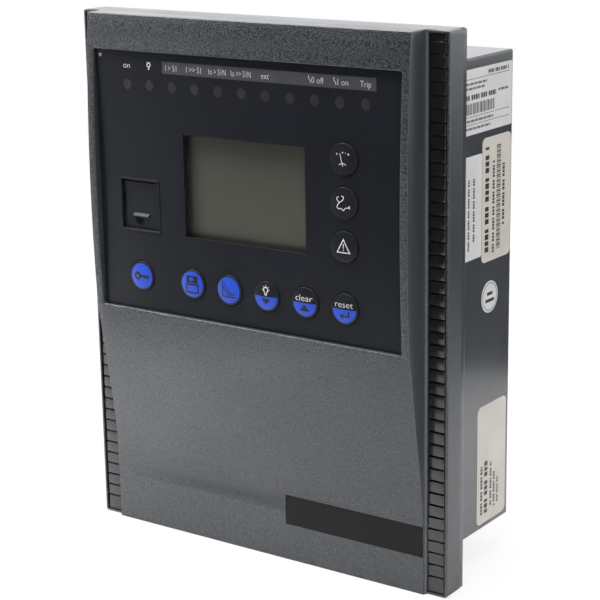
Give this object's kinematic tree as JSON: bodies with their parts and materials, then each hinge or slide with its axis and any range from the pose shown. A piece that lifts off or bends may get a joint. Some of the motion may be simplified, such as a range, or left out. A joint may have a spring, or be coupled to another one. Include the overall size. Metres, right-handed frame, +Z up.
{
  "type": "protection relay",
  "caption": "Panel-mount protection relay: moulded front frame with a crowned panel, display window, push keys, indicator lamps and a port flap, flat housing behind with terminals.",
  "frame": {"origin": "middle of the rear face of the flange, where the switchboard panel bears, at the middle of the cut-out", "axes": "+X to the right seen from the front, +Y from the front into the panel, +Z up"},
  "size_m": [0.176, 0.0987, 0.222],
  "materials": {
    "bezel_plastic": "fine grain",
    "grip_plastic": "gloss",
    "overlay_film": "satin",
    "legend_card": "matt",
    "plate_film": "satin",
    "clear_window": "clear",
    "display_glass": "satin",
    "tinned_steel": "tinned",
    "light_guide": "matt",
    "board_laminate": "lacquered",
    "zinc_steel": "zinc plated",
    "switch_plastic": "matt",
    "lamp_resin": "clear cast",
    "lens_smoke": "smoked",
    "key_plastic": "satin",
    "port_plastic": "satin",
    "housing_plastic": "smooth",
    "chip_resin": "matt",
    "cable_sheath": "matt",
    "relay_case": "gloss",
    "core_steel": "varnished",
    "capacitor_sleeve": "gloss",
    "sensor_resin": "potted",
    "header_plastic": "matt",
    "plug_plastic": "matt",
    "terminal_brass": "turned",
    "jack_plastic": "matt",
    "spring_steel": "rolled"
  },
  "bodies": {
    "housing": {"front_bezel": "bezel_plastic", "left_grip_strip": "grip_plastic", "right_grip_strip": "grip_plastic", "window_overlay": "overlay_film", "legend_strip": "legend_card", "name_plate": "plate_film", "display_window": "clear_window", "display_panel": "display_glass", "display_frame": "tinned_steel", "module_socket": "tinned_steel", "display_backlight": "light_guide", "display_board": "board_laminate", "main_board": "board_laminate", "processor_board": "board_laminate", "display_board_screws": "zinc_steel", "bezel_screws": "zinc_steel", "main_board_screws": "zinc_steel", "processor_board_screws": "zinc_steel", "board_spacers": "zinc_steel", "terminal_screws": "zinc_steel", "plug_screws": "zinc_steel", "current_connector_screws": "zinc_steel", "module_socket_posts": "zinc_steel", "clip_screws": "zinc_steel", "key_switches": "switch_plastic", "cable_headers": "switch_plastic", "indicator_lamps": "lamp_resin", "indicator_lenses": "lens_smoke", "port_housing": "port_plastic", "port_socket": "port_plastic", "rear_housing": "housing_plastic", "processor_chips": "chip_resin", "display_cable": "cable_sheath", "output_relays": "relay_case", "supply_transformer": "core_steel", "supply_capacitors": "capacitor_sleeve", "current_transformers": "sensor_resin", "terminal_header_a": "header_plastic", "terminal_header_b": "header_plastic", "terminal_plug_a": "plug_plastic", "terminal_plug_b": "plug_plastic", "current_connector": "plug_plastic", "module_socket_insert": "plug_plastic", "current_terminal_screws": "terminal_brass", "earth_screw": "terminal_brass", "earth_washer": "terminal_brass", "network_jacks": "jack_plastic", "mounting_clips": "spring_steel"},
    "key_access": {"key_access": "key_plastic"},
    "key_settings": {"key_settings": "key_plastic"},
    "key_curve": {"key_curve": "key_plastic"},
    "key_down": {"key_down": "key_plastic"},
    "key_up": {"key_up": "key_plastic"},
    "key_enter": {"key_enter": "key_plastic"},
    "key_meter": {"key_meter": "key_plastic"},
    "key_diagnosis": {"key_diagnosis": "key_plastic"},
    "key_alarm": {"key_alarm": "key_plastic"},
    "port_flap": {"port_flap": "port_plastic"}
  },
  "joints": [
    {"name": "key_access_press", "type": "slide", "parent": "housing", "child": "key_access", "axis": [0, 1, 0], "range_m": [0, 0.0006], "stiffness_N_per_m": 1500, "springref_m": -0.0005},
    {"name": "key_settings_press", "type": "slide", "parent": "housing", "child": "key_settings", "axis": [0, 1, 0], "range_m": [0, 0.0006], "stiffness_N_per_m": 1500, "springref_m": -0.0005},
    {"name": "key_curve_press", "type": "slide", "parent": "housing", "child": "key_curve", "axis": [0, 1, 0], "range_m": [0, 0.0006], "stiffness_N_per_m": 1500, "springref_m": -0.0005},
    {"name": "key_down_press", "type": "slide", "parent": "housing", "child": "key_down", "axis": [0, 1, 0], "range_m": [0, 0.0006], "stiffness_N_per_m": 1500, "springref_m": -0.0005},
    {"name": "key_up_press", "type": "slide", "parent": "housing", "child": "key_up", "axis": [0, 1, 0], "range_m": [0, 0.0006], "stiffness_N_per_m": 1500, "springref_m": -0.0005},
    {"name": "key_enter_press", "type": "slide", "parent": "housing", "child": "key_enter", "axis": [0, 1, 0], "range_m": [0, 0.0006], "stiffness_N_per_m": 1500, "springref_m": -0.0005},
    {"name": "key_meter_press", "type": "slide", "parent": "housing", "child": "key_meter", "axis": [0, 1, 0], "range_m": [0, 0.0006], "stiffness_N_per_m": 1500, "springref_m": -0.0005},
    {"name": "key_diagnosis_press", "type": "slide", "parent": "housing", "child": "key_diagnosis", "axis": [0, 1, 0], "range_m": [0, 0.0006], "stiffness_N_per_m": 1500, "springref_m": -0.0005},
    {"name": "key_alarm_press", "type": "slide", "parent": "housing", "child": "key_alarm", "axis": [0, 1, 0], "range_m": [0, 0.0006], "stiffness_N_per_m": 1500, "springref_m": -0.0005},
    {"name": "port_flap_hinge", "type": "hinge", "parent": "housing", "child": "port_flap", "pos_m": [-0.0532, -0.0197, 0.0414], "axis": [-1, 0, 0], "range_deg": [0, 100]}
  ]
}
